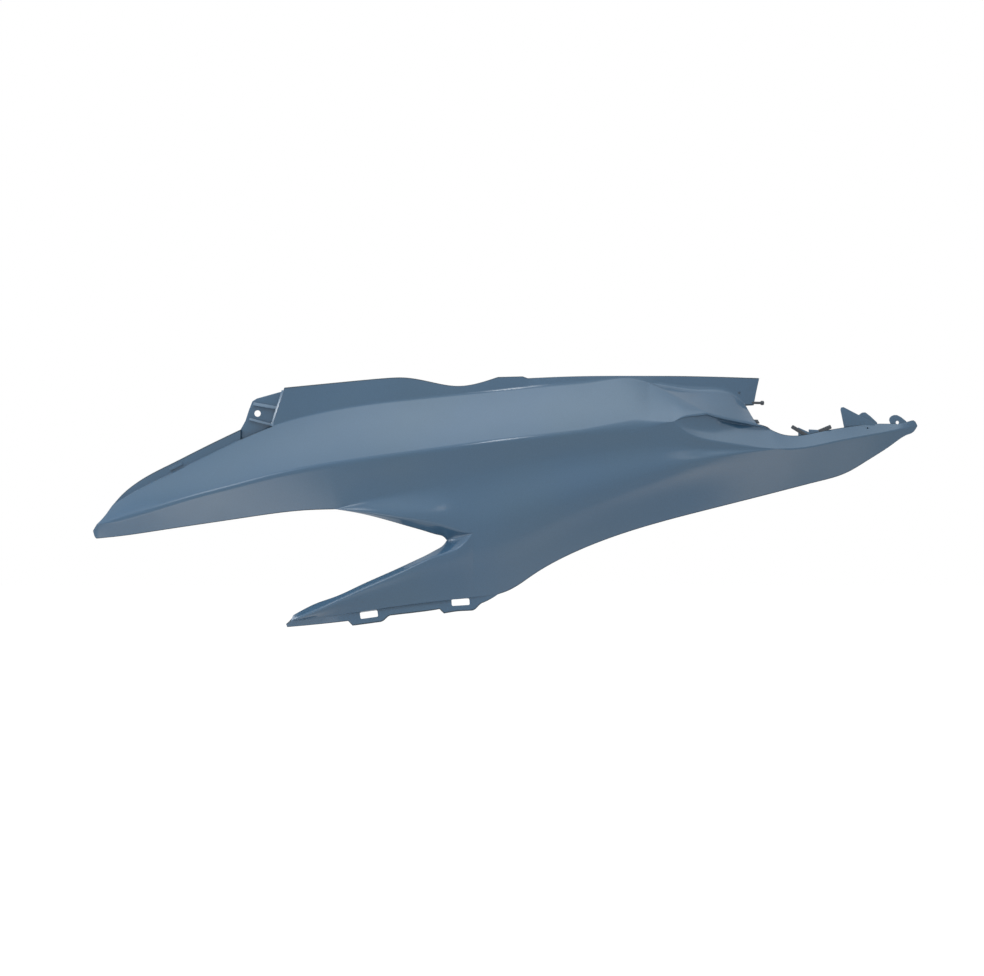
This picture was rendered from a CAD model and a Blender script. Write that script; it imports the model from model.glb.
# %% [markdown]
# # A scooter's side panel
# This panel is one thin plastic moulding from the side of a scooter's tail. It is sprayed in a
# grey-blue metallic paint under clear lacquer. A long bright band runs from its pointed nose to a
# scoop near the rear, a two-legged side lies below the band, and hooks and an ear sit on the tail's rim.
# The piece could be sculpted freely, but a panel like this is designed with a few long lines, and
# its skin is stretched between them. The script does the same, so that every crease stays crisp.

# %% Load the frame
import math

import bmesh
import bpy
import numpy as np
from mathutils import Matrix, Vector


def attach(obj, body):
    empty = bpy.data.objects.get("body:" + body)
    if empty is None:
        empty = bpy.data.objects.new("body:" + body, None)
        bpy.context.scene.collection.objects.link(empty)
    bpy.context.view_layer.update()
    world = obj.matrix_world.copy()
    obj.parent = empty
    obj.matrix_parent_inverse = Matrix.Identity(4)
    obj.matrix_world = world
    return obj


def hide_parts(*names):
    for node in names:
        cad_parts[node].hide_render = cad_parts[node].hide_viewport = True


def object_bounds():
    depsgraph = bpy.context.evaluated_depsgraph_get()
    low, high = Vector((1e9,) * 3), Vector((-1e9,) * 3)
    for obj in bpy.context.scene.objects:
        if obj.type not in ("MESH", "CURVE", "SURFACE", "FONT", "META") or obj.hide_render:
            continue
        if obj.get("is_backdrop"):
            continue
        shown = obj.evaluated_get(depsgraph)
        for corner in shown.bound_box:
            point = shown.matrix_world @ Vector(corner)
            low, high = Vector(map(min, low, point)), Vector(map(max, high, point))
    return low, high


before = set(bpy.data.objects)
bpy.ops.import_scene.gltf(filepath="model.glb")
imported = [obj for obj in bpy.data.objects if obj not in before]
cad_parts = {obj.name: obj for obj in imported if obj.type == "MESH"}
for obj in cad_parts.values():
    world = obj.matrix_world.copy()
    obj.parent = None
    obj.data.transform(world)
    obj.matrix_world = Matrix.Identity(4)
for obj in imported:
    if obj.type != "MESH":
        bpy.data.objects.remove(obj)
MM = 0.001
plain_box = [list(corner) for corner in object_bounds()]
print("box of the plain model in mm:", [[round(v / MM, 1) for v in corner] for corner in plain_box])

# %% [markdown]
# ## The camera
# The panel is seen square from its outer side, from far enough away that it hardly tapers.
# A focal length in millimetres could be guessed, but it is safer to work it out: at the plane
# 45 mm in front of the fixing plane, one pixel of the 984 wide picture is one millimetre.

# %% Place the camera
PICTURE_WIDTH = 984
VIEW_DISTANCE = 2.6
TRUE_SCALE_REACH = 0.045
VIEW_CENTRE = (0.231, -0.076)
SENSOR = 36.0

view = bpy.data.cameras.new("studio_camera")
view.sensor_fit = "HORIZONTAL"
view.sensor_width = SENSOR
view.lens = SENSOR * VIEW_DISTANCE / (PICTURE_WIDTH * MM)
view.clip_start, view.clip_end = 0.05, 50
camera = bpy.data.objects.new("studio_camera", view)
camera.location = (VIEW_CENTRE[0], -VIEW_DISTANCE - TRUE_SCALE_REACH, VIEW_CENTRE[1])
camera.rotation_euler = (math.radians(90), 0, 0)
bpy.context.scene.collection.objects.link(camera)
bpy.context.scene.camera = camera
print("focal length in mm:", round(view.lens, 2))

# %% [markdown]
# ## The studio
# Panels like this are photographed in a white tent, with broad soft boxes above and at the sides and
# pale cards below, so that each face gets its own tone from the way it leans. One lamp would be
# simpler, but lacquer mirrors its lamps, and a hard edge would draw its outline on the panel. So
# there are several, and the glow of each fades to its edges. The white surroundings come from
# the world and the floor as the camera and reflections see them, and not from more light.

# %% Set the view and the world
bpy.context.scene.view_settings.view_transform = "Standard"
WHITE_SEEN = 1.0
WORLD_LIGHT = 0.64


def fill(tree, node, values):
    """Give a node's sockets their values, or link them to the outputs of other nodes."""
    for socket, value in values.items():
        if isinstance(value, bpy.types.NodeSocket):
            tree.links.new(value, node.inputs[socket])
        else:
            node.inputs[socket].default_value = value
    return node


def add_node(tree, kind, values, **settings):
    """Add a node of a kind, with its settings and the values of its sockets."""
    node = tree.nodes.new("ShaderNode" + kind)
    for name, value in settings.items():
        setattr(node, name, value)
    return fill(tree, node, values)


def looked_at(tree):
    """1 where the camera, a reflection or a view through glass looks, and 0 for plain light."""
    ray = add_node(tree, "LightPath", {})
    total = ray.outputs["Is Camera Ray"]
    for name in ("Is Glossy Ray", "Is Transmission Ray"):
        add = add_node(tree, "Math", {0: total, 1: ray.outputs[name]}, operation="ADD", use_clamp=True)
        total = add.outputs[0]
    return total


world = bpy.data.worlds.new("white_tent")
bpy.context.scene.world = world
world.use_nodes = True
tree = world.node_tree
tree.nodes.clear()
light = add_node(tree, "Background", {"Color": (0.97, 1.0, 0.98, 1), "Strength": WORLD_LIGHT})
seen = add_node(tree, "Background", {"Color": (1, 1, 1, 1), "Strength": WHITE_SEEN})
mix = add_node(tree, "MixShader", {0: looked_at(tree), 1: light.outputs[0], 2: seen.outputs[0]})
add_node(tree, "OutputWorld", {0: mix.outputs[0]})
print("world light", WORLD_LIGHT, "and seen as", WHITE_SEEN)

# %% Hang the lamps
MIDDLE = Vector((0.24, -0.04, -0.08))


def glow_from_middle(lamp):
    """Let the lamp's glow fade from its middle to its edges, so that its reflection has no hard edge."""
    lamp.use_nodes = True
    tree = lamp.node_tree
    spot = add_node(tree, "NewGeometry", {}).outputs["Parametric"]  # 0 to 1 across the lamp
    away = add_node(tree, "VectorMath", {0: spot, 1: (0.5, 0.5, 0)}, operation="DISTANCE")
    fade = add_node(tree, "MapRange", {"Value": away.outputs["Value"], "From Min": 0.5, "From Max": 0.0},
                    interpolation_type="SMOOTHSTEP")
    fill(tree, tree.nodes["Emission"], {"Strength": fade.outputs["Result"]})


def soft_lamp(name, place, width, height, brightness, colour, way=None):
    """A soft box that faces the panel or a given way; brightness 1 in its middle is paper white."""
    lamp = bpy.data.lights.new(name, "AREA")
    lamp.shape, lamp.size, lamp.size_y = "RECTANGLE", width, height
    lamp.energy, lamp.color = brightness * math.pi * width * height, colour
    glow_from_middle(lamp)
    obj = bpy.data.objects.new(name, lamp)
    obj.location = place
    obj.rotation_euler = (way or MIDDLE - Vector(place)).to_track_quat("-Z", "Y").to_euler()
    obj.visible_camera = False
    bpy.context.scene.collection.objects.link(obj)
    print(name, round(lamp.energy), "W at", round((MIDDLE - Vector(place)).length, 2), "m")


WHITE = (1.0, 1.0, 1.0)
UP = Vector((0, 0.15, 1))  # the floor cards look up, and a little towards the panel
soft_lamp("sky", (0.24, -0.5, 2.7), 7.0, 6.0, 0.31, (0.84, 0.94, 1.0))
soft_lamp("ceiling", (0.24, -0.5, 2.5), 7.0, 1.8, 1.04, (0.92, 0.98, 1.0))
soft_lamp("overhead_soft_box", (0.05, -0.6, 2.1), 3.0, 1.8, 0.41, (1.0, 0.99, 0.96))
soft_lamp("tall_strip", (-0.05, -2.17, 2.08), 0.5, 1.6, 10.0, WHITE)
soft_lamp("left_side_box", (-2.4, -0.3, 0.75), 1.8, 1.6, 8.5, WHITE)
soft_lamp("right_side_box", (2.8, -0.5, 0.75), 1.8, 1.6, 0.9, WHITE)
soft_lamp("left_high_box", (-1.6, -1.6, 1.6), 1.6, 1.6, 3.6, WHITE)
soft_lamp("right_high_box", (1.05, -1.85, 2.0), 0.7, 1.3, 0.7, WHITE)
soft_lamp("left_floor_card", (-0.30, -0.50, -0.44), 0.9, 0.6, 1.95, (1.0, 0.90, 0.80), UP)
soft_lamp("middle_floor_card", (0.40, -0.65, -0.44), 1.0, 0.6, 0.35, (1.0, 0.86, 0.72), UP)
soft_lamp("right_floor_card", (0.98, -0.75, -0.44), 0.9, 0.6, 1.1, (1.0, 0.82, 0.66), UP)
soft_lamp("back_fill", (0.6, 2.2, 1.3), 2.2, 1.8, 2.4, WHITE)

# %% [markdown]
# ## Floor
# The panel hangs above a plain pale floor, as on a thin line, and leaves a faint shadow there.
# A clipped, overlit floor would throw that light back at the panel, so the floor stays a quiet
# pale grey for the light, and is mostly white only where the camera or a reflection looks at it.

# %% Lay the floor
FLOOR_SIZE, FLOOR_DROP = 9.0, 0.30
FLOOR_GREY, FLOOR_WHITE, FLOOR_SHARE = 0.5, 1.12, 0.9


def floor_sheet():
    bm = bmesh.new()
    bmesh.ops.create_grid(bm, x_segments=2, y_segments=2, size=FLOOR_SIZE)
    mesh = bpy.data.meshes.new("floor")
    bm.to_mesh(mesh)
    bm.free()
    floor = bpy.data.objects.new("floor", mesh)
    floor.location = (0.24, 0, plain_box[0][2] - FLOOR_DROP)
    bpy.context.scene.collection.objects.link(floor)
    return floor


def pale_floor():
    material = bpy.data.materials.new("pale_floor")
    material.use_nodes = True
    tree = material.node_tree
    tree.nodes.clear()
    matt = add_node(tree, "BsdfDiffuse", {"Color": (FLOOR_GREY, FLOOR_GREY, FLOOR_GREY, 1)})
    white = add_node(tree, "Emission", {"Strength": FLOOR_WHITE})
    share = add_node(tree, "Math", {0: looked_at(tree), 1: FLOOR_SHARE}, operation="MULTIPLY")
    mix = add_node(tree, "MixShader", {0: share.outputs[0], 1: matt.outputs[0], 2: white.outputs[0]})
    add_node(tree, "OutputMaterial", {0: mix.outputs[0]})
    return material


floor = floor_sheet()
floor.data.materials.append(pale_floor())
floor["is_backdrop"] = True
print("floor at", round(floor.location.z, 3), "m")

# %% [markdown]
# ## The panel's long lines
# Each crease and edge of the real panel is one long line. Here a line is a smooth curve that
# gives a height and a reach for every station x along the panel, where reach is the distance
# outwards from the fixing plane. A Bezier curve object could hold it, but a cubic spline over x
# can be asked for its place at any station, which keeps all lines in step with each other.

# %% A line that can be asked for its place
def spline_slopes(points):
    """Slopes of the natural cubic spline, whose curvature runs on through its points."""
    step = np.diff(points[:, 0])
    rise = np.diff(points[:, 1:], axis=0) / step[:, None]
    count = len(points)
    system, right = np.zeros((count, count)), np.zeros((count, 2))
    system[0, :2], right[0] = (2, 1), 3 * rise[0]
    system[-1, -2:], right[-1] = (1, 2), 3 * rise[-1]
    for i in range(1, count - 1):
        before, after = 1 / step[i - 1], 1 / step[i]
        system[i, i - 1:i + 2] = before, 2 * (before + after), after
        right[i] = 3 * (rise[i - 1] * before + rise[i] * after)
    return np.linalg.solve(system, right)


def cubic(a, b, start, end, t):
    """Point at t on the cubic from a to b with the given end slopes."""
    s = 1 - t
    return a * s * s * (1 + 2 * t) + b * t * t * (3 - 2 * t) + start * t * s * s - end * t * t * s


class Line:
    """A smooth line through (x, height, reach) points in mm. A point given twice is a corner."""

    def __init__(self, *points):
        runs = [[points[0]]]
        for point in points[1:]:
            if point == runs[-1][-1]:
                runs.append([])
            runs[-1].append(point)
        self.runs = [np.array(run, float) for run in runs]
        self.slopes = [spline_slopes(run) for run in self.runs]
        self.corners = [run[0, 0] for run in self.runs] + [self.runs[-1][-1, 0]]
        self.known = {}

    def __call__(self, x):
        if x not in self.known:
            self.known[x] = self.place(x)
        return self.known[x]

    def place(self, x):
        k = 0
        while k < len(self.runs) - 1 and x > self.runs[k][-1, 0]:
            k += 1
        run, slope = self.runs[k], self.slopes[k]
        i = int(np.clip(np.searchsorted(run[:, 0], x) - 1, 0, len(run) - 2))
        step = run[i + 1, 0] - run[i, 0]
        t = (x - run[i, 0]) / step
        return cubic(run[i, 1:], run[i + 1, 1:], slope[i] * step, slope[i + 1] * step, t)


print("a straight line halfway:", Line((0, 0, 0), (10, 4, 2))(5))

# %% Lines of the flange, the nose and the band
FLANGE_TOP = Line(
    (8, -13.7, 10), (20.5, 25.5, 9), (20.5, 25.5, 9), (77, 31, 12), (123, 35, 16), (142, 35.5, 18),
    (168.5, 31.2, 20.2), (197.5, 26.8, 23.2), (222, 31, 24.2), (237, 35.8, 24.4), (237, 35.8, 24.4),
    (262, 36.4, 25), (262, 36.4, 25), (267, 34.6, 25), (267, 34.6, 25), (310, 36.4, 25),
    (375, 37.2, 20.8), (441, 36.9, 14), (502, 35.2, 8))
FLANGE_FOOT = Line(
    (-170, -112.7, 7), (-163, -105.4, 6), (-155.5, -94.3, 2), (-155.5, -94.3, 2), (-142, -85.6, 4),
    (-106, -67, 8), (-55, -42, 9.5), (8, -13.7, 10), (37, -5, 12), (67, 1.7, 15), (110, 8.6, 19),
    (158.5, 13.8, 22.5), (239, 21.7, 27), (300, 27.7, 27.6), (340, 31.8, 25.4), (376, 33.8, 21.8),
    (388.5, 30.4, 21.7), (409, 26.4, 20), (441, 23, 17), (480, 15.4, 12.8), (487.5, 8, 13),
    (487.5, 8, 13), (496.4, 8.2, 9.5), (496.4, 8.2, 9.5), (499, 22.5, 8.6), (502, 35.2, 8))
NOSE_RIM = Line(
    (-155.5, -94.3, 2), (-145.5, -83.4, 0.5), (-120.5, -64.9, 3), (-96, -52.3, 4.5),
    (-63.5, -36, 5.5), (-24, -17, 6))
MAIN_CREASE = Line(
    (-174.5, -119.5, 3), (-170, -112.7, 7), (-170, -112.7, 7), (-162, -111.5, 10),
    (-145, -107.4, 15), (-114, -98.7, 24), (-72, -85.8, 35), (-31, -75, 43.5), (9.5, -64.4, 50),
    (82, -51, 59), (130, -44.2, 63.5), (179.5, -37.6, 66.5), (227, -31, 68), (275, -25.6, 68),
    (358, -15.9, 64), (412, -10, 58.5))
print("main crease halfway:", MAIN_CREASE(MAIN_CREASE.corners[-1] - 100))

# %% Lines of the scoop and the tail
DIAGONAL = Line(
    (388.5, 30.4, 21.7), (402, 23.5, 28), (419.7, 14.3, 35.5), (439, 3.2, 44.5), (445.5, -0.5, 47))
REAR_EDGE = Line(
    (487.5, 8, 13), (490.7, 1, 20), (494, -6, 27), (497, -11.4, 33))
SCOOP_EDGE = Line(
    (412, -10, 58.5), (418, -6.1, 56), (436.5, -2.1, 50), (445.5, -0.5, 47), (445.5, -0.5, 47),
    (459, -3.5, 44), (480, -7.6, 38), (497, -11.4, 33), (513, -17.8, 27.5))
SCOOP_ROOT = Line(
    (412, -10, 58.5), (418, -12.6, 56.6), (428.5, -15.6, 52.3), (444, -17.4, 47.5), (462, -18, 42.3),
    (482, -18, 37.2), (497, -17.9, 32.6), (513, -17.8, 27.5))
TAIL_RIM = Line(
    (513, -17.8, 27.5), (521, -21.1, 27.5), (533, -23.2, 26.8), (545, -22.5, 24.8),
    (562, -19.1, 20.9), (591, -14.1, 14.8), (624, -10.8, 10.3), (648, -9.8, 9), (657, -7.6, 8.3),
    (660.5, -8.8, 8), (662.5, -13, 8))
TAIL_CREASE = Line(
    (412, -10, 58.5), (414, -13.1, 58.3), (418, -16.6, 58), (432, -24, 56.5), (460.5, -30.5, 52),
    (484, -34, 48.5), (519.5, -36.7, 42.3), (540, -35.9, 38.3), (581, -28, 29.5),
    (623, -20.5, 19.5), (662.5, -13, 8))
print("tail rim halfway:", TAIL_RIM(TAIL_RIM.corners[-1] - 100))

# %% Lines of the side and the notch
DIP = Line(
    (74, -97.2, 47), (99.5, -88.5, 52), (139.5, -80.5, 56.5), (169.5, -75, 60), (199, -68.6, 62.5),
    (239, -59.1, 64.5), (298.5, -47.2, 65.5), (346, -40.3, 63.5), (412, -34.5, 58), (445, -37, 54),
    (478.5, -37.6, 49.5), (519.5, -36.7, 42.3))
RIDGE = Line(
    (-174.5, -119.5, 3), (-173.5, -123.6, 2.5), (-170, -127.3, 3), (-170, -127.3, 3),
    (-154, -125.8, 6), (-102.5, -118.6, 18), (-20, -106.3, 33.5), (47, -98.1, 43.5),
    (74, -97.2, 47), (74, -97.2, 47), (99.5, -99.9, 56), (139.5, -105.6, 66), (179.5, -112.6, 70.5),
    (212, -120.5, 73), (239, -114.6, 75), (268.5, -104.7, 75.5), (298, -93.3, 75), (346, -78, 72),
    (377.5, -68, 68.5), (438, -50, 60), (478.5, -42, 51), (519.5, -36.7, 42.3))
NOTCH_UPPER = Line(
    (74, -97.2, 47), (99.5, -101.4, 52.5), (139.5, -111.7, 59), (153.8, -115.8, 60),
    (165.8, -119.3, 60.3), (177.7, -122.7, 60), (183.7, -125.2, 59), (186, -128, 58),
    (186, -128, 58), (212, -120.5, 73))
NOTCH_LOWER = Line(
    (24.5, -213, 36), (29, -209.8, 38), (29, -209.8, 38), (31.5, -203.6, 38.5),
    (31.5, -203.6, 38.5), (55, -191.4, 43.5), (74, -184.6, 48.5), (99, -173.2, 52.5),
    (139.5, -155, 59), (153.8, -148.3, 60.5), (165.8, -142.6, 61.3), (177.7, -136.2, 61.2),
    (183.7, -131.5, 59.8), (186, -128, 58), (186, -128, 58), (212, -120.5, 73))
print("ridge halfway:", RIDGE(RIDGE.corners[-1] - 100))

# %% Lines of the leg and the lower edge
LEG_CREASE = Line(
    (29, -209.8, 38), (31.5, -208.3, 40.5), (39, -205, 45), (79.5, -187.1, 54.5),
    (109.5, -173.5, 59.5), (139.5, -160.3, 64.8), (179.5, -142.3, 70.4), (204.5, -130, 72.4),
    (212, -120.5, 73))
LIP_CREASE = Line(
    (24.5, -213, 36), (29, -209.8, 38), (29, -209.8, 38), (59, -205.6, 42), (96, -200.2, 47),
    (139, -193.6, 53), (189, -187.4, 58.5), (237, -181.7, 62))
LIP_FOOT = Line(
    (24.5, -213, 36), (25.5, -215.6, 35.5), (25.5, -215.6, 35.5), (38.5, -214.4, 37.4),
    (84, -209.2, 43.2), (135, -202, 50.8), (179, -196, 56), (199, -192.9, 57.6), (217, -191.4, 59),
    (237, -181.7, 62))
BODY_FOOT = Line(
    (237, -181.7, 62), (249, -177, 62.5), (272.5, -161.8, 63.5), (296.5, -147.8, 63),
    (320.5, -136.6, 61.5), (368.5, -119, 56.5), (441, -99.2, 45.5), (520.5, -79.4, 31),
    (562, -69, 23), (590.5, -60, 18), (611.5, -47.8, 15.5), (636, -32.2, 12), (653, -21.6, 9.5),
    (660.5, -16.6, 8.2), (662.5, -13, 8))
print("body foot halfway:", BODY_FOOT(BODY_FOOT.corners[-1] - 100))

# %% Where the lines take over from each other
(NOSE_TIP, NOSE_TOP, NOSE_STRIP_START, NOSE_STRIP_END, FLANGE_FRONT, LEG_TIP, LEG_START,
 NOTCH_START, NOTCH_END, FUNNEL_END, LEG_LIP_END, DIAGONAL_START, SCOOP_START, LIP_PEAK,
 REAR_START, REAR_END, FLANGE_END, LIP_END, RIDGE_END, TAIL_END) = (
    -174.5, -170.0, -155.5, -24.0, 8.0, 24.5, 29.0, 74.0, 186.0, 212.0, 237.0, 388.5, 412.0,
    445.5, 487.5, 497.0, 502.0, 513.0, 519.5, 662.5)


def crest(x):
    return MAIN_CREASE(x) if x <= SCOOP_START else TAIL_CREASE(x)


def band_head(x):
    return FLANGE_FOOT(x) if x <= DIAGONAL_START else DIAGONAL(x)


def band_foot(x):
    return MAIN_CREASE(x) if x <= SCOOP_START else SCOOP_EDGE(x)


def facet_head(x):
    return FLANGE_FOOT(x) if x <= REAR_START else REAR_EDGE(x)


def facet_foot(x):
    return DIAGONAL(x) if x <= LIP_PEAK else SCOOP_EDGE(x)


def foot(x):
    return LIP_CREASE(x) if x <= LEG_LIP_END else BODY_FOOT(x)


print("panel length in mm:", TAIL_END - NOSE_TIP)

# %% [markdown]
# ## Beads, steps and clip tabs
# Some small forms follow a long line at a short distance: the round bead of the scoop's lip and its
# rolled underside, the step behind the leg's lip, the nose's ledge and the clip tabs. Each could have
# a line of its own, but tied to the line it follows it stays in place when that line moves.

# %% Steps, ledges and clip tabs that hang on a line
LEDGE = 4.0
LIP_STEP = (0.8, 3.0)  # down and inwards
SCOOP_ROLL = (  # stations, how far down and how far inwards
    (412, 420, 445.5, 456, 461, 478, 492, 503, 513),
    (0, 0.5, 0.8, 1.0, 1.9, 1.9, 1.0, 0.4, 0),
    (0, 0.8, 2.8, 3.6, 6.0, 6.0, 3.5, 1.2, 0))
SCOOP_BEAD = (  # stations, how far down and how far outwards
    (412, 420, 445.5, 456, 492, 503, 513),
    (0, 1.3, 2.0, 2.6, 2.6, 1.3, 0),
    (0, 0.5, 0.8, 1.2, 1.2, 0.6, 0))
TABS = (108.0, 199.7)
TAB_WIDTH, TAB_TIP_WIDTH, TAB_TIP_SHIFT, TAB_DROP = 42.0, 28.5, -2.3, 5.2
TAB_CORNERS = (-TAB_WIDTH / 2, TAB_TIP_SHIFT - TAB_TIP_WIDTH / 2,
               TAB_TIP_SHIFT + TAB_TIP_WIDTH / 2, TAB_WIDTH / 2)


def scoop_bead(x):
    """Foot of the round bead along the scoop's lip: it goes down and a little outwards."""
    stations, down, outwards = SCOOP_BEAD
    return SCOOP_EDGE(x) + np.array([-np.interp(x, stations, down), np.interp(x, stations, outwards)])


def scoop_underside(x):
    """Where the lip, rolled under, meets the hollow: it goes down and far inwards from the bead."""
    stations, down, inwards = SCOOP_ROLL
    return scoop_bead(x) - np.array([np.interp(x, stations, down), np.interp(x, stations, inwards)])


def lip_root(x):
    """The leg's lower lip is set back behind the side by a small step."""
    share = np.interp(x, (58, 105, 195, LEG_LIP_END), (0, 1, 1, 0))
    return LIP_CREASE(x) - share * np.array(LIP_STEP)


def ledge_root(x):
    depth = np.interp(x, (NOSE_STRIP_START, -142, NOSE_STRIP_END), (0, LEDGE, LEDGE))
    return FLANGE_FOOT(x) + np.array([0.08 * depth, -depth])


def eased(value):
    value = min(1.0, max(0.0, value))
    return value * value * (3 - 2 * value)


def lip_foot(x):
    """Edge of the leg's lower lip: each clip tab drops with rounded shoulders."""
    drop = 0.0
    for centre in TABS:
        a, b, c, d = (centre + corner for corner in TAB_CORNERS)
        drop += TAB_DROP * min(eased((x - a) / (b - a)), eased((d - x) / (d - c)))
    return LIP_FOOT(x) - np.array([drop, 0])


print("tab middle drops to", round(float(lip_foot(TABS[0])[0]), 1), "mm")

# %% [markdown]
# ## Sections between the lines
# Between two lines the skin is either straight across, as on the flange and the band, or it
# flows in one soft curve through several lines, as on the side with its shallow hollow and its
# ridge. Subdivision could soften a coarse cage instead, but it would also pull the skin away from
# the lines, and the lines are what the eye follows on this panel.

# %% Straight, crowned and flowing sections
BAND_CROWN = 1.2


def straight(head, bottom, crown=0.0):
    """Section straight from one line to the next, bowed outwards by the crown."""
    def section(x, t):
        a, b = head(x), bottom(x)
        bow = crown * min(1, math.dist(a, b) / 30)
        return a + (b - a) * t + np.array([0, 4 * bow * t * (1 - t)])
    return section


def side_points(x):
    """Crest, hollow, ridge and foot of the side at a station."""
    top = crest(x)
    ridge = RIDGE(x) if x < RIDGE_END else top
    dip = DIP(x) if NOTCH_START < x < RIDGE_END else ridge
    return [top, dip, ridge, foot(max(x, LEG_START))]


def leg_points(x):
    points = side_points(x)
    return points if x > FUNNEL_END else [points[0], points[1], LEG_CREASE(x), points[3]]


def hollow_points(x):
    """Head, root and crest of the scoop's hollow at a station."""
    return [scoop_underside(x), SCOOP_ROOT(x), TAIL_CREASE(x)]


def flowing(points_at, i):
    """Section that passes smoothly through all points, here from point i to the next."""
    known = {}

    def section(x, t):
        if x not in known:
            points = points_at(x)
            span, ends = math.dist(points[i], points[i + 1]), []
            for k in (i, i + 1):
                before, after = points[max(k - 1, 0)], points[min(k + 1, len(points) - 1)]
                length = math.dist(after, points[k]) + math.dist(points[k], before)
                ends.append((after - before) / max(length, 1e-6) * span)
            known[x] = (points[i], points[i + 1], *ends)
        return cubic(*known[x], t)
    return section


def tail_section(x, t):
    return HOLLOW_FOOT(x, t) if x <= LIP_END else TAIL_FLAT(x, t)


HOLLOW_FOOT, TAIL_FLAT = flowing(hollow_points, 1), straight(TAIL_RIM, TAIL_CREASE)
print("side section at 300:", [[round(float(v), 1) for v in p] for p in side_points(300.0)])

# %% [markdown]
# ## The patches of skin
# The skin is laid in patches, one for each face that a hand would feel: the flange, the band,
# the facet that falls into the scoop, the scoop's wall, the tail, the side and the leg's lip. One big
# grid could not follow the V notch or the scoop. Patches that start and stop at their own
# stations can, as long as neighbours share the same columns.

# %% List the patches
class Patch:
    def __init__(self, name, start, end, rows, section):
        self.name, self.start, self.end, self.rows, self.section = name, start, end, rows, section
        self.lengths = {}

    def length(self, x):
        if x not in self.lengths:
            self.lengths[x] = math.dist(self.section(x, 0), self.section(x, 1))
        return self.lengths[x]


patches = {patch.name: patch for patch in (
    Patch("nose_strip", NOSE_STRIP_START, NOSE_STRIP_END, 6, straight(NOSE_RIM, ledge_root)),
    Patch("nose_ledge", NOSE_STRIP_START, NOSE_STRIP_END, 3, straight(ledge_root, FLANGE_FOOT)),
    Patch("flange", FLANGE_FRONT, FLANGE_END, 9, straight(FLANGE_TOP, FLANGE_FOOT)),
    Patch("band", NOSE_TOP, LIP_PEAK, 18, straight(band_head, band_foot, BAND_CROWN)),
    Patch("facet", DIAGONAL_START, REAR_END, 12, straight(facet_head, facet_foot)),
    Patch("lip_bead", SCOOP_START, LIP_END, 3, straight(SCOOP_EDGE, scoop_bead)),
    Patch("lip_underside", SCOOP_START, LIP_END, 3, straight(scoop_bead, scoop_underside)),
    Patch("scoop_wall", SCOOP_START, LIP_END, 10, flowing(hollow_points, 0)),
    Patch("tail_facet", SCOOP_START, TAIL_END, 12, tail_section),
    Patch("upper_side", NOSE_TIP, RIDGE_END, 14, flowing(side_points, 0)),
    Patch("middle_side", NOTCH_START, RIDGE_END, 14, flowing(side_points, 1)),
    Patch("lower_side", LEG_START, TAIL_END, 22, flowing(leg_points, 2)),
    Patch("notch_upper", NOTCH_START, FUNNEL_END, 6, straight(RIDGE, NOTCH_UPPER)),
    Patch("notch_lower", LEG_START, FUNNEL_END, 6, straight(NOTCH_LOWER, LEG_CREASE)),
    Patch("lip_step", LEG_START, LEG_LIP_END, 3, straight(LIP_CREASE, lip_root)),
    Patch("leg_lip", LEG_TIP, LEG_LIP_END, 6, straight(lip_root, lip_foot)),
)}
print(len(patches), "patches")

# %% [markdown]
# ## Rounded creases
# No crease of a moulded and painted panel is razor sharp: each has a small radius, and that
# radius is what catches the light as a thin bright or dark line. A Bevel modifier could round
# them, but where a crease fades out into the skin it would need care at every vertex. Here both
# patches are cut back by the radius, which fades to nothing at the crease's ends, and an arc joins them.

# %% List the creases
LARGEST_SHARE = 0.4  # of a patch that one rounding may take


class Crease:
    def __init__(self, above, below, start, end, radius, fade_in=8.0, fade_out=8.0):
        self.above, self.below = patches[above], patches[below]
        self.start, self.end, self.radius = start, end, radius
        self.fade_in, self.fade_out = fade_in, fade_out

    def reach(self, x):
        """How far the rounding reaches into each patch at a station."""
        if not self.start < x < self.end:
            return 0.0
        fade = eased((x - self.start) / self.fade_in) * eased((self.end - x) / self.fade_out)
        radius = np.interp(x, *self.radius) if isinstance(self.radius, tuple) else self.radius
        shorter = min(self.above.length(x), self.below.length(x))
        return min(radius * fade, LARGEST_SHARE * shorter)


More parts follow.
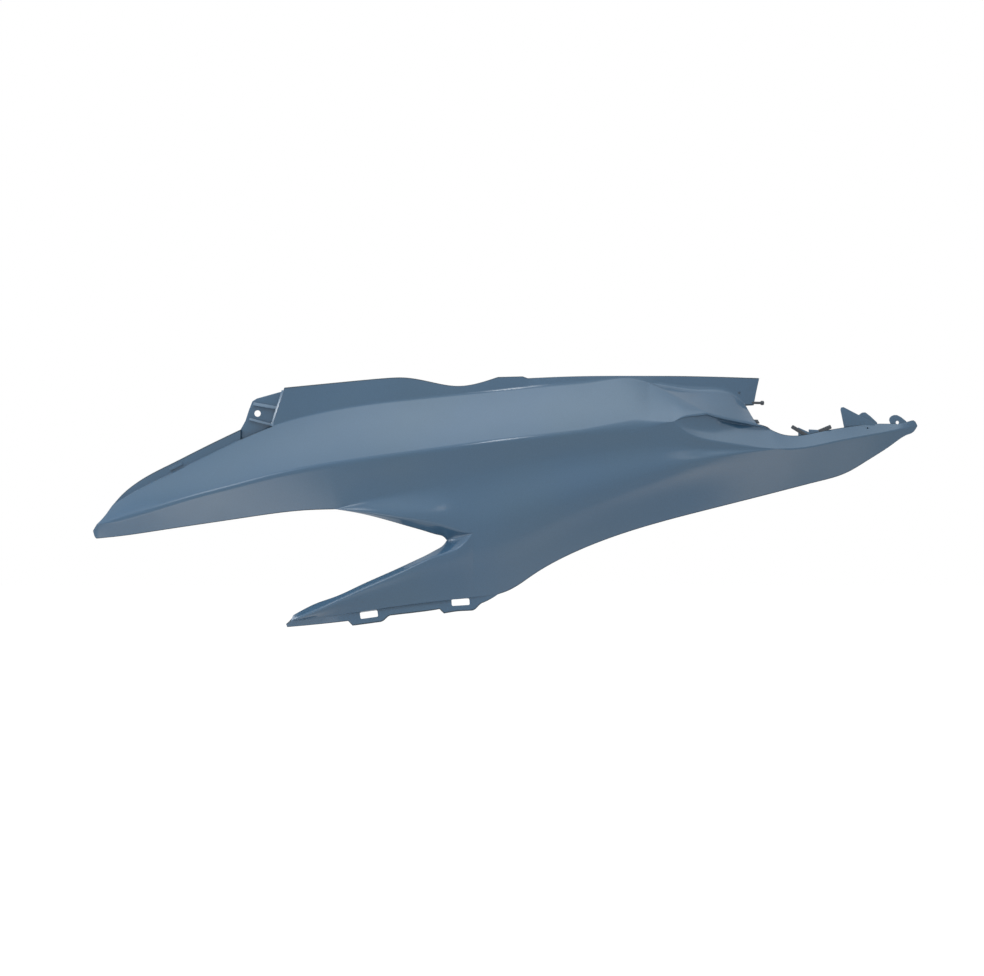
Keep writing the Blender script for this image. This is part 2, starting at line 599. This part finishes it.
creases = (
    Crease("nose_strip", "nose_ledge", NOSE_STRIP_START, NOSE_STRIP_END, 0.8),
    Crease("nose_ledge", "band", NOSE_STRIP_START, NOSE_STRIP_END, 0.9),
    Crease("flange", "band", FLANGE_FRONT, DIAGONAL_START, ((8, 200, 388), (1.2, 2.0, 3.5)), 8, 12),
    Crease("flange", "facet", DIAGONAL_START, REAR_START,
           ((388, 440, 470, 488), (3.0, 4.6, 4.0, 2.0)), 16, 4),
    Crease("band", "upper_side", NOSE_TOP, SCOOP_START,
           ((-170, 320, 370, 412), (3.2, 3.2, 8.0, 8.0)), 25, 40),
    Crease("facet", "band", DIAGONAL_START, LIP_PEAK, 1.6, 14, 6),
    Crease("band", "lip_bead", SCOOP_START, LIP_PEAK, 0.8, 8, 1),
    Crease("facet", "lip_bead", LIP_PEAK, REAR_END, 0.8, 1, 4),
    Crease("lip_bead", "lip_underside", SCOOP_START, LIP_END, 0.9),
    Crease("lip_underside", "scoop_wall", SCOOP_START, LIP_END, 0.6),
    Crease("tail_facet", "upper_side", SCOOP_START, RIDGE_END, 1.3, 10, 6),
    Crease("tail_facet", "lower_side", RIDGE_END, TAIL_END, 1.3, 6, 10),
    Crease("middle_side", "notch_upper", NOTCH_START, FUNNEL_END, 1.8, 10, 14),
    Crease("notch_upper", "notch_lower", NOTCH_END, FUNNEL_END, 4.0, 8, 12),
    Crease("notch_lower", "lower_side", LEG_START, FUNNEL_END, 1.8, 6, 14),
    Crease("lower_side", "lip_step", LEG_START, LEG_LIP_END, 0.8, 6, 12),
    Crease("lip_step", "leg_lip", LEG_START, LEG_LIP_END, 0.4, 6, 12),
)
print(len(creases), "creases")

# %% [markdown]
# ## Laying the skin
# Now the patches and arcs become faces. The columns lie at most 2.5 mm apart, closer than the eye
# can see at this distance, and every corner of every line gets a column of its own. A narrow row
# beside each crease and each free edge keeps the smooth shading from creeping into the flat faces.
# Corners that fall together are made once, so that the skin is one connected sheet.

# %% Choose the columns
COLUMN = 2.5
ROUND_OUTLINE = (-173.6, -172.5, -171.2, -24.5, 10.0, 183.7, 185.2, 499.0, 655.0, 657.0, 658.8, 660.5,
                 661.7)
lines = (FLANGE_TOP, FLANGE_FOOT, NOSE_RIM, DIAGONAL, REAR_EDGE, SCOOP_EDGE, SCOOP_ROOT, TAIL_RIM,
         MAIN_CREASE, TAIL_CREASE, DIP, RIDGE, NOTCH_UPPER, NOTCH_LOWER, LEG_CREASE, LIP_CREASE,
         LIP_FOOT, BODY_FOOT)


def panel_columns():
    fixed = {round(x, 2) for patch in patches.values() for x in (patch.start, patch.end)}
    fixed |= {round(x, 2) for line in lines for x in line.corners}
    fixed |= set(ROUND_OUTLINE)
    for centre in TABS:
        fixed |= {round(centre + corner, 2) for corner in TAB_CORNERS}
    fixed = sorted(fixed)
    result = [fixed[0]]
    for start, end in zip(fixed, fixed[1:]):
        steps = max(1, math.ceil((end - start) / COLUMN))
        result += [start + (end - start) * k / steps for k in range(1, steps + 1)]
    return result


columns = panel_columns()
print(len(columns), "columns")

# %% Lay patches and arcs
GUARD = 0.7
ARC_ROWS = 4
skin = bmesh.new()
made = {}


def corner(x, place):
    key = (round(x, 3), round(float(place[0]), 3), round(float(place[1]), 3))
    if key not in made:
        made[key] = skin.verts.new((x * MM, -float(place[1]) * MM, float(place[0]) * MM))
    return made[key]


def cut_back(patch, x):
    """How far the creases cut a patch back at its head and at its foot."""
    head = max((c.reach(x) for c in creases if c.below is patch), default=0.0)
    bottom = max((c.reach(x) for c in creases if c.above is patch), default=0.0)
    return head, bottom


def patch_column(patch, x):
    length = patch.length(x)
    if length < 1e-4:
        return [patch.section(x, 0)] * (patch.rows + 1)
    head, bottom = cut_back(patch, x)
    first, last = head / length, 1 - bottom / length
    guard = min(GUARD / length, 0.5 * (last - first) / patch.rows)
    steps = [first, *np.linspace(first + guard, last - guard, patch.rows - 1), last]
    return [patch.section(x, t) for t in steps]


def arc_column(crease, x):
    above, below = crease.above, crease.below
    reach = crease.reach(x)
    middle = below.section(x, 0)
    a = above.section(x, 1 - reach / max(above.length(x), 1e-6))
    b = below.section(x, reach / max(below.length(x), 1e-6))
    steps = np.linspace(0, 1, ARC_ROWS + 1)
    return [a * (1 - t) ** 2 + 2 * middle * t * (1 - t) + b * t ** 2 for t in steps]


def lay(start, end, column_of):
    inside = [x for x in columns if start - 0.005 <= x <= end + 0.005]
    grid = [[corner(x, place) for place in column_of(x)] for x in inside]
    for left, right in zip(grid, grid[1:]):
        for k in range(len(left) - 1):
            ring = list(dict.fromkeys((left[k], left[k + 1], right[k + 1], right[k])))
            if len(ring) > 2 and not skin.faces.get(ring):
                skin.faces.new(ring)


turned_under = set()
for patch in patches.values():
    before = len(skin.faces)
    lay(patch.start, patch.end, lambda x: patch_column(patch, x))
    if patch.name == "notch_upper":
        skin.faces.ensure_lookup_table()
        turned_under |= set(skin.faces[before:])
for crease in creases:
    lay(crease.start, crease.end, lambda x: arc_column(crease, x))
skin.normal_update()
print(len(skin.verts), "corners,", len(skin.faces), "faces,",
      sum(edge.is_boundary for edge in skin.edges), "edges on the rim")

# %% [markdown]
# ## The wall
# The moulding is about 2.5 mm thick, which shows at its edges and from behind. A Solidify modifier
# is the usual way, but where narrow strips taper to a point its inner side crosses itself. So
# the way inwards at each corner is first eased over its neighbours, and the inner skin is laid
# along it. The rim between both skins gets a middle row that stands out a little, so it is round.

# %% Find the way inwards at each corner
WALL = 2.5
WALL_EASE, EASING_ROUNDS = 4.0, 10
LEAST_SQUINT = 0.75  # keeps the wall from growing without end where the skin is folded sharply
RIM_BULGE = 0.45


def normalised(vectors):
    return sum(vectors, Vector()).normalized()


way = {v: normalised([-face.normal * face.calc_area() for face in v.link_faces]) for v in skin.verts}
near = {v: [(math.exp(-(e.calc_length() / (WALL_EASE * MM)) ** 2), e.other_vert(v))
            for e in v.link_edges] for v in skin.verts}
for _ in range(EASING_ROUNDS):
    way = {v: normalised([way[v]] + [way[other] * share for share, other in near[v]]) for v in way}
print("ways inwards:", len(way))

# %% Lay the inner skin and the rim
FRONT_FACES = len(skin.faces)
rim_edges = [edge.link_loops[0] for edge in skin.edges if edge.is_boundary]
rim_edges = [(loop.vert, loop.link_loop_next.vert, loop.face.normal.copy()) for loop in rim_edges]
inner = {}
for v in list(skin.verts):
    squint = min(-face.normal.dot(way[v]) for face in v.link_faces)
    inner[v] = skin.verts.new(v.co + way[v] * WALL * MM / max(LEAST_SQUINT, squint))
for face in list(skin.faces):
    skin.faces.new([inner[v] for v in reversed(face.verts)])
outwards = {}
for a, b, normal in rim_edges:
    side = (b.co - a.co).cross(normal).normalized()
    for v in (a, b):
        outwards[v] = outwards.get(v, Vector()) + side
middle = {v: skin.verts.new((v.co + inner[v].co) / 2 + side.normalized() * RIM_BULGE * MM)
          for v, side in outwards.items()}
for a, b, _ in rim_edges:
    skin.faces.new((b, a, middle[a], middle[b]))
    skin.faces.new((middle[b], middle[a], inner[a], inner[b]))
print("wall closed:", all(edge.is_manifold for edge in skin.edges), "volume in cm3:",
      round(abs(skin.calc_volume()) * 1e6, 1))

# %% Turn the wall into the panel
def as_object(name, bm):
    """Make an object of a bmesh, with its faces turned outwards."""
    bmesh.ops.recalc_face_normals(bm, faces=bm.faces)
    mesh = bpy.data.meshes.new(name)
    bm.to_mesh(mesh)
    bm.free()
    obj = bpy.data.objects.new(name, mesh)
    bpy.context.scene.collection.objects.link(obj)
    return obj


PAINTED, BARE, THINLY_PAINTED = 0, 1, 2
coat_layer = skin.faces.layers.int.new("coat")
skin.faces.ensure_lookup_table()
for face in skin.faces[:FRONT_FACES]:
    on_rim = sum(v in middle for v in face.verts) > 1
    face[coat_layer] = THINLY_PAINTED if on_rim or face in turned_under else PAINTED
for face in skin.faces[FRONT_FACES:2 * FRONT_FACES]:
    face[coat_layer] = BARE
for face in skin.faces[2 * FRONT_FACES:]:
    face[coat_layer] = THINLY_PAINTED
panel = as_object("panel_skin", skin)
print(panel.name, len(panel.data.polygons), "faces")

# %% [markdown]
# ## Clip slots, small holes and the dimple
# Each clip tab has a slot for a spring clip, two small holes go through the tail's rim, and the
# flange has one small blind dimple near its rear end. The slots could be left out of the grid by
# hand, but a cut with a rounded block is how the mould's own core makes them, and the Boolean
# tool does just that.

# %% Blocks, rods and cuts
def rounded_block(name, length, depth, height, corner_round, turn, place):
    """Block with rounded upright corners, turned about Y, at a place in mm."""
    bm = bmesh.new()
    bmesh.ops.create_cube(bm, size=1.0)
    bmesh.ops.scale(bm, vec=(length * MM, depth * MM, height * MM), verts=bm.verts)
    upright = [e for e in bm.edges if abs(e.verts[0].co.y - e.verts[1].co.y) > 1e-6]
    bmesh.ops.bevel(bm, geom=upright, offset=corner_round * MM, segments=4, affect="EDGES", profile=0.5)
    matrix = Matrix.Translation(Vector(place) * MM) @ Matrix.Rotation(turn, 4, "Y")
    bmesh.ops.transform(bm, matrix=matrix, verts=bm.verts)
    return as_object(name, bm)


def turned(name, profile, start, end, segments=32):
    """Round piece: (share along, radius in mm) profile, turned about the line from start to end."""
    a, b = Vector(start) * MM, Vector(end) * MM
    turn = Vector((0, 0, 1)).rotation_difference(b - a).to_matrix().to_4x4()
    angles = [2 * math.pi * k / segments for k in range(segments)]
    bm = bmesh.new()
    rings = []
    for share, radius in profile:
        height, r = share * (b - a).length, radius * MM
        spots = [(r * math.cos(angle), r * math.sin(angle), height) for angle in angles]
        rings.append([bm.verts.new(spot) for spot in (spots if r > 0 else [(0, 0, height)])])
    for low, high in zip(rings, rings[1:]):
        for k in range(segments):
            ring = (low[k % len(low)], low[(k + 1) % len(low)],
                    high[(k + 1) % len(high)], high[k % len(high)])
            bm.faces.new(list(dict.fromkeys(ring)))
    bmesh.ops.transform(bm, matrix=Matrix.Translation(a) @ turn, verts=bm.verts)
    return as_object(name, bm)


def plain_rod(name, start, end, radius):
    return turned(name, ((0, 0), (0, radius), (1, radius), (1, 0)), start, end)


def cut_from(obj, tools):
    """Cut the tools out of an object and keep the result as its mesh."""
    for tool in tools:
        modifier = obj.modifiers.new(tool.name, "BOOLEAN")
        modifier.operation, modifier.solver, modifier.object = "DIFFERENCE", "EXACT", tool
    bpy.context.view_layer.update()
    cut = bpy.data.meshes.new_from_object(obj.evaluated_get(bpy.context.evaluated_depsgraph_get()))
    obj.modifiers.clear()
    obj.data = cut
    for tool in tools:
        bpy.data.objects.remove(tool, do_unlink=True)
    print(obj.name, "after the cuts:", len(cut.polygons), "faces")


print("tools ready")

# %% Cut the slots, the tail's holes and the dimple
SLOT_LENGTH, SLOT_HEIGHT, SLOT_RISE = 17.8, 6.4, 3.2
DIMPLE_AT, DIMPLE, DIMPLE_DEPTH = (481.5, 20.4), 2.6, 1.5
TAB_HOLE_AT, TAB_HOLE = (611, -15.3), 1.6
EAR_HOLE_AT, EAR_HOLE = (642, -9.6), 3.4


def through_pin(name, place, width):
    """Round pin that reaches through everything at an (x, height) place."""
    return plain_rod(name, (place[0], 5, place[1]), (place[0], -30, place[1]), width / 2)


cutters = [through_pin("skin_tab_pin", TAB_HOLE_AT, TAB_HOLE),
           through_pin("skin_ear_pin", EAR_HOLE_AT, EAR_HOLE)]
for number, centre in enumerate(TABS, 1):
    height, reach = LIP_FOOT(centre)
    slope = (LIP_FOOT(centre + 5)[0] - LIP_FOOT(centre - 5)[0]) / 10
    cutters.append(rounded_block(f"slot_core_{number}", SLOT_LENGTH, 40, SLOT_HEIGHT, 1.3,
                                 -math.atan(slope), (centre, -reach, height + SLOT_RISE)))
top, bottom = FLANGE_TOP(DIMPLE_AT[0]), FLANGE_FOOT(DIMPLE_AT[0])
dimple_reach = bottom[1] + (top[1] - bottom[1]) * (DIMPLE_AT[1] - bottom[0]) / (top[0] - bottom[0])
cutters.append(plain_rod("dimple_pin", (DIMPLE_AT[0], DIMPLE_DEPTH - dimple_reach, DIMPLE_AT[1]),
                         (DIMPLE_AT[0], -dimple_reach - 10, DIMPLE_AT[1]), DIMPLE / 2))
cut_from(panel, cutters)

# %% [markdown]
# ## The front bracket
# Between the nose and the flange the panel bolts to the frame: a flat plate with one screw hole,
# stiffened by two ribs, a front wall and a sill. The front wall and the ribs have sloped fronts,
# which catch the light. Every edge of such a plate is lightly rounded by the mould. A Bevel
# modifier would do, but the small plates are made once here, with the bevel in the mesh itself,
# so that they can be cut afterwards.

# %% Flat plates and bars with soft edges
EDGE_ROUND = 0.45


def swept(bm, ring, way):
    """Fill a ring of corners with a face and sweep it along a way into a solid."""
    copied = bmesh.ops.extrude_face_region(bm, geom=[bm.faces.new(ring)])["geom"]
    moved = [item for item in copied if isinstance(item, bmesh.types.BMVert)]
    bmesh.ops.translate(bm, vec=way, verts=moved)


def soft_edged(name, bm, rounding):
    """Round all edges a little, as a mould does, and make the object."""
    bmesh.ops.recalc_face_normals(bm, faces=bm.faces)
    bmesh.ops.bevel(bm, geom=list(bm.edges), offset=rounding * MM, segments=3, affect="EDGES",
                    profile=0.5, clamp_overlap=True)
    return as_object(name, bm)


def moulded_plate(name, outline, back, front, rounding=EDGE_ROUND):
    """Flat plate with an outline of (x, height) corners, between two reaches."""
    bm = bmesh.new()
    ring = [bm.verts.new((x * MM, -back * MM, z * MM)) for x, z in outline]
    swept(bm, ring, (0, (back - front) * MM, 0))
    return soft_edged(name, bm, rounding)


def moulded_bar(name, start, end, thickness, back, front, rounding=EDGE_ROUND):
    """Straight bar between two (x, height) points."""
    a, b = np.array(start), np.array(end)
    along = (b - a) / np.linalg.norm(b - a)
    side = np.array([-along[1], along[0]]) * thickness / 2
    return moulded_plate(name, [a - side, b - side, b + side, a + side], back, front, rounding)


def sloped_bar(name, start, end, width, back, left_reach, right_reach):
    """Straight bar whose front slopes from its upper left side to its lower right side."""
    a, b = (Vector((place[0], 0, place[1])) for place in (start, end))
    left = Vector((0, 1, 0)).cross(b - a).normalized() * width / 2
    if left.dot(Vector((-1, 0, 1))) < 0:
        left = -left
    bm = bmesh.new()
    ends = []
    for place in (a, b):
        spots = ((left, back), (left, left_reach), (-left, right_reach), (-left, back))
        ends.append([bm.verts.new((place + side + Vector((0, -reach, 0))) * MM)
                     for side, reach in spots])
    first, last = ends
    bm.faces.new(first)
    bm.faces.new(last[::-1])
    for k in range(4):
        bm.faces.new((first[k], last[k], last[(k + 1) % 4], first[(k + 1) % 4]))
    return soft_edged(name, bm, EDGE_ROUND)


def joined(name, pieces):
    """Gather pieces of one moulding in one mesh."""
    bm = bmesh.new()
    for piece in pieces:
        bm.from_mesh(piece.data)
        bpy.data.objects.remove(piece, do_unlink=True)
    obj = as_object(name, bm)
    print(name, len(obj.data.polygons), "faces")
    return obj


print("plates get edges rounded by", EDGE_ROUND, "mm")

# %% Build the bracket
PLATE = ((-25.2, -30), (-25.2, -17.5), (-22.6, -13), (-19.6, -7.5), (-16, 3.6), (-12.6, 12.2),
         (-8, 15), (15.5, 21.6), (25, 22.6), (25, -12), (8, -20))
SCREW_HOLE_AT, SCREW_HOLE = (-7.3, -0.3), 6.5

plate = moulded_plate("bracket_plate", PLATE, 0, 2.5)
cut_from(plate, [plain_rod("screw_pin", (SCREW_HOLE_AT[0], 10, SCREW_HOLE_AT[1]),
                           (SCREW_HOLE_AT[0], -20, SCREW_HOLE_AT[1]), SCREW_HOLE / 2)])
bracket = joined("front_bracket", [
    plate,
    sloped_bar("front_wall", (7.2, -13.2), (18.9, 23.2), 2.6, 0.4, 7.2, 9.6),
    moulded_plate("sill", ((-24.4, -28), (9, -14.2), (12, -17), (-24.4, -31.2)), 0.4, 8.8),
    sloped_bar("upper_rib", (-11.4, 9.6), (15, 5.0), 3.6, 1, 3.8, 6.5),
    sloped_bar("lower_rib", (-15.6, -5.8), (10, -12.4), 2.8, 1, 4.4, 6.5),
])

# %% [markdown]
# ## Small fittings along the edges
# A low bar sits on the nose's rim, a thin locating pin with a round head stands behind the
# flange's rear end, and the tail's rim carries hooks, a gusset with its tab, and an ear with a hole.
# They could be one traced outline, but on the real panel they step inwards one behind the
# other, so each is its own small plate at its own depth. The pin and the hooks are bare plastic.

# %% Nose bar and rear pin
BAR_SPAN = (-96.5, -83.0)
BAR_RISE, BAR_THICKNESS, BAR_STANDS_OUT = 4.6, 3.0, 2.0
ends = [(x, float(ledge_root(x)[0]) + BAR_RISE) for x in BAR_SPAN]
bar_reach = float(ledge_root(BAR_SPAN[0])[1])
nose_bar = joined("nose_bar", [
    moulded_bar("bar", *ends, BAR_THICKNESS, bar_reach - WALL / 2, bar_reach + BAR_STANDS_OUT)])

PIN_REACH = 9.0
PIN_PROFILE = ((0, 0), (0, 1.3), (0.8, 1.3), (0.82, 2.0), (0.88, 2.3), (0.96, 2.2), (1, 1.5), (1, 0))
rear_pin = joined("rear_pin", [
    turned("pin", PIN_PROFILE, (488.0, -PIN_REACH, 10.5), (506.8, -PIN_REACH, 10.2)),
    moulded_plate("rear_stop", ((490.5, -7), (498.5, -7.2), (500.5, -11), (490.5, -12.5)), 26.5, 29.5),
])

# %% Hooks, gusset and ear of the tail
GUSSET = ((583.9, 3.4), (584.4, 5.6), (587, 6), (602, -1.8), (618.4, -10.6), (619, -16), (588.4, -19))
TAB = ((600, -4), (606, 0.5), (609.5, 0.7), (614.5, -3.2), (621.3, -9.5), (622, -16), (600, -17))
EAR = ((635.2, -16), (635.2, -11.2), (633.7, -7.2), (634.2, -4.8), (636.2, -2.8), (638.8, -1.9),
       (641.8, -2), (645.7, -4), (651.3, -8.4), (651.3, -14))

hooks = joined("tail_hooks", [
    moulded_bar("hook", (533.2, -13.8), (549, -23.6), 3.8, 21.3, 24.1, 0.9),
    moulded_bar("bar", (558.5, -20.2), (573.6, -13.9), 4.2, 16.9, 19.8, 0.9),
])
catches = joined("tail_catches", [
    moulded_plate("wedge", ((539.5, -14.6), (551.5, -20), (554, -25), (540, -25.5)), 21, 23.5, 0.9),
    moulded_plate("catch", ((550.5, -16.7), (560.4, -17.3), (562, -22.5), (551, -25)), 19, 21.5, 0.9),
])
gusset = joined("tail_gusset", [moulded_plate("gusset", GUSSET, 10, 12.5)])
tab = moulded_plate("rear_tab", TAB, 7.8, 10.3)
cut_from(tab, [through_pin("tab_pin", TAB_HOLE_AT, TAB_HOLE)])
ear = moulded_plate("tail_ear", EAR, 6.4, 8.9)
cut_from(ear, [through_pin("ear_pin", EAR_HOLE_AT, EAR_HOLE)])

# %% [markdown]
# ## Behind the skin
# Panels of this kind have thin ribs behind the band, so that it doesn't drum, and round posts
# that press into rubber grommets on the frame. Nothing of this shows from outside. The ribs follow
# the band's own section, and the posts are turned like on a lathe, with a blind bore and four fins.

# %% Ribs and posts
RIBS = (90.0, 180.0, 270.0, 350.0)
RIB_WALL, RIB_HEIGHT = 1.6, 6.0
POSTS = ((300.0, -108.0), (160.0, -166.0))
POST_END, BORE_DEPTH = 36.0, 14.0
FIN_LENGTH, FIN_WALL = 18, 1.4


def band_rib(x):
    """Rib across the back of the band, with its root halfway through the wall."""
    line = [patches["band"].section(x, t) for t in np.linspace(0.1, 0.9, 14)]
    outer = [(z, reach - WALL / 2) for z, reach in line]
    low = [(z, reach - WALL - RIB_HEIGHT) for z, reach in line]
    left = (x - RIB_WALL / 2) * MM
    bm = bmesh.new()
    ring = [bm.verts.new((left, -reach * MM, z * MM)) for z, reach in outer + low[::-1]]
    swept(bm, ring, (RIB_WALL * MM, 0, 0))
    return as_object("rib", bm)


def skin_reach(x, height):
    """Reach of the side's face at a place, read from its section."""
    patch = patches["middle_side"] if height > RIDGE(x)[0] else patches["lower_side"]
    line = sorted((tuple(patch.section(x, t)) for t in np.linspace(0, 1, 25)), key=lambda p: p[0])
    return float(np.interp(height, [p[0] for p in line], [p[1] for p in line]))


def grommet_post(x, z):
    """Turned post whose flared root is bent to the slope of the side, halfway through its wall."""
    root = skin_reach(x, z) - WALL / 2
    long = root - POST_END
    bore = BORE_DEPTH / long
    profile = ((bore, 0), (bore, 2.5), (0.02, 2.5), (0, 3.0), (0, 6.0), (0.03, 6.5), (0.9, 6.6),
               (1, 8.0), (1, 0))
    post = turned("post", profile, (x, -POST_END, z), (x, -root, z), 40)
    for v in post.data.vertices:
        share = (-v.co.y / MM - POST_END) / long
        if share > 0.85:
            slope = skin_reach(v.co.x / MM, v.co.z / MM) - WALL / 2 - root
            v.co.y -= slope * MM
    fins, half = [], FIN_LENGTH / 2
    for turn, ends in ((0, ((x - half, z), (x + half, z))),
                       (math.pi / 2, ((x, z - half), (x, z + half)))):
        top = min(skin_reach(*end) for end in ends) - 0.7 * WALL
        fins.append(rounded_block("fin", FIN_LENGTH, long * 0.4, FIN_WALL, 0.3, turn,
                                  (x, long * 0.2 - top, z)))
    return [post, *fins]


ribs = joined("band_ribs", [band_rib(x) for x in RIBS])
posts = joined("grommet_posts", [piece for x, z in POSTS for piece in grommet_post(x, z)])

# %% [markdown]
# ## The paint
# The outside is a grey-blue metallic base coat under clear lacquer: fine flakes give the colour a
# slightly uneven sparkle, the lacquer adds a sharp thin reflection, and its surface has a faint
# orange peel. One flat colour with a gloss value would look like toy plastic. So the colour varies
# softly from the spray gun's passes, the flakes vary it in tiny spots, and the lacquer gets its
# own bump. Rims and faces that turn under get little paint, and the back is bare plastic with
# some overspray, so each of these has a material of its own.

# %% Helpers for materials
def noise(tree, where, scale, detail):
    """Noise in the piece's own space, where one unit of scale is one wave per metre."""
    return add_node(tree, "TexNoise", {"Vector": where, "Scale": scale, "Detail": detail}).outputs["Fac"]


def spread(tree, value, low, high):
    """Carry a noise value, which mostly lies between 0.3 and 0.7, over to another range."""
    node = add_node(tree, "MapRange", {"Value": value, "From Min": 0.3, "From Max": 0.7,
                                       "To Min": low, "To Max": high})
    return node.outputs["Result"]


def two_tones(tree, share, first, second):
    """Mix two colours by a share between 0 and 1."""
    node = add_node(tree, "Mix", {"Factor": share, "A": first, "B": second}, data_type="RGBA")
    return node.outputs["Result"]


def shaded(tree, colour, share, low, high):
    """Lighten and darken a colour by a value's place between low and high."""
    value = spread(tree, share, low, high)
    return add_node(tree, "HueSaturation", {"Color": colour, "Value": value}).outputs["Color"]


def bumped(tree, height, strength, distance):
    """Small bumps that rise by the distance, in metres, at full strength."""
    values = {"Height": height, "Strength": strength, "Distance": distance}
    return add_node(tree, "Bump", values).outputs["Normal"]


def new_material(name):
    material = bpy.data.materials.new(name)
    material.use_nodes = True
    tree = material.node_tree
    where = add_node(tree, "TexCoord", {}).outputs["Object"]
    return material, tree, tree.nodes["Principled BSDF"], where


print("material helpers ready")

# %% Metallic paint under lacquer
PAINT_COOL = (0.041, 0.108, 0.198, 1)
PAINT_GREY = (0.046, 0.111, 0.190, 1)


def lacquered_paint():
    material, tree, shader, where = new_material("painted_plastic")
    passes = spread(tree, noise(tree, where, 9, 2), 0, 1)
    colour = two_tones(tree, passes, PAINT_COOL, PAINT_GREY)
    fill(tree, shader, {
        "Base Color": shaded(tree, colour, noise(tree, where, 1600, 1), 0.93, 1.07),
        "Metallic": 0.15, "Specular IOR Level": 0.2,
        "Roughness": spread(tree, noise(tree, where, 60, 3), 0.36, 0.46),
        "Normal": bumped(tree, noise(tree, where, 2200, 1), 0.12, 0.0002),  # flakes
        "Coat Weight": 1.0, "Coat Roughness": 0.07, "Coat IOR": 1.5,
        "Coat Normal": bumped(tree, noise(tree, where, 260, 2), 0.06, 0.0006)})  # orange peel
    return material


def bare_inside():
    """The unpainted inner side: dull, with overspray drifting in from the edges."""
    material, tree, shader, where = new_material("bare_inside")
    drift = spread(tree, noise(tree, where, 14, 3), 0, 1)
    colour = two_tones(tree, drift, (0.052, 0.058, 0.068, 1), (0.066, 0.084, 0.108, 1))
    fill(tree, shader, {
        "Base Color": shaded(tree, colour, noise(tree, where, 900, 2), 0.92, 1.08),
        "Roughness": spread(tree, noise(tree, where, 90, 2), 0.48, 0.62),
        "Normal": bumped(tree, noise(tree, where, 1500, 2), 0.10, 0.0002)})
    return material


def thin_coat():
    """Rims and faces that turn away from the spray gun: little paint, and the lacquer is dull there."""
    material, tree, shader, where = new_material("thin_paint")
    cover = spread(tree, noise(tree, where, 45, 3), 0, 1)
    colour = two_tones(tree, cover, (0.022, 0.044, 0.068, 1), (0.032, 0.064, 0.098, 1))
    fill(tree, shader, {
        "Base Color": shaded(tree, colour, noise(tree, where, 1100, 2), 0.9, 1.1),
        "Roughness": spread(tree, noise(tree, where, 70, 2), 0.45, 0.6),
        "Specular IOR Level": 0.25, "Coat Weight": 0.3, "Coat Roughness": 0.3,
        "Normal": bumped(tree, noise(tree, where, 900, 2), 0.12, 0.0002)})
    return material


paint, inside, thin_paint = lacquered_paint(), bare_inside(), thin_coat()
print("paint, thin paint and bare inside made")

# %% Dress all pieces and set their shading
def dress(obj, sharp_from=50):
    obj.data.materials.clear()
    for coat in (paint, inside, thin_paint):  # in the order of PAINTED, BARE, THINLY_PAINTED
        obj.data.materials.append(coat)
    layer = obj.data.attributes.get("coat")
    count = len(obj.data.polygons)
    if layer is not None:
        marks = np.zeros(count, np.int32)
        layer.data.foreach_get("value", marks)
    else:
        normals = np.zeros(3 * count)
        obj.data.polygons.foreach_get("normal", normals)
        marks = np.where(normals[1::3] > 0.5, BARE, PAINTED).astype(np.int32)
    obj.data.polygons.foreach_set("material_index", marks)
    obj.data.polygons.foreach_set("use_smooth", [True] * len(obj.data.polygons))
    obj.data.set_sharp_from_angle(angle=math.radians(sharp_from))
    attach(obj, "root")


dress(panel, 75)
painted = (bracket, nose_bar, catches, gusset, tab, ear)
bare = (rear_pin, hooks, ribs, posts)
for piece in painted + bare:
    dress(piece)
for piece in bare:
    piece.data.polygons.foreach_set("material_index", [BARE] * len(piece.data.polygons))
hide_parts("side_panel")
print(1 + len(painted) + len(bare), "pieces dressed")

# %% [markdown]
# ## Sizes
# The dressed panel has to stay the size of the plain model. Both boxes are written down, the plain
# one from before anything was replaced and the dressed one from now, to be compared at leisure.

dressed_box = [list(corner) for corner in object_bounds()]
grown = [[round((b - a) / MM, 2) for a, b in zip(old, new)] for old, new in zip(plain_box, dressed_box)]
print("box grows by, in mm:", grown)
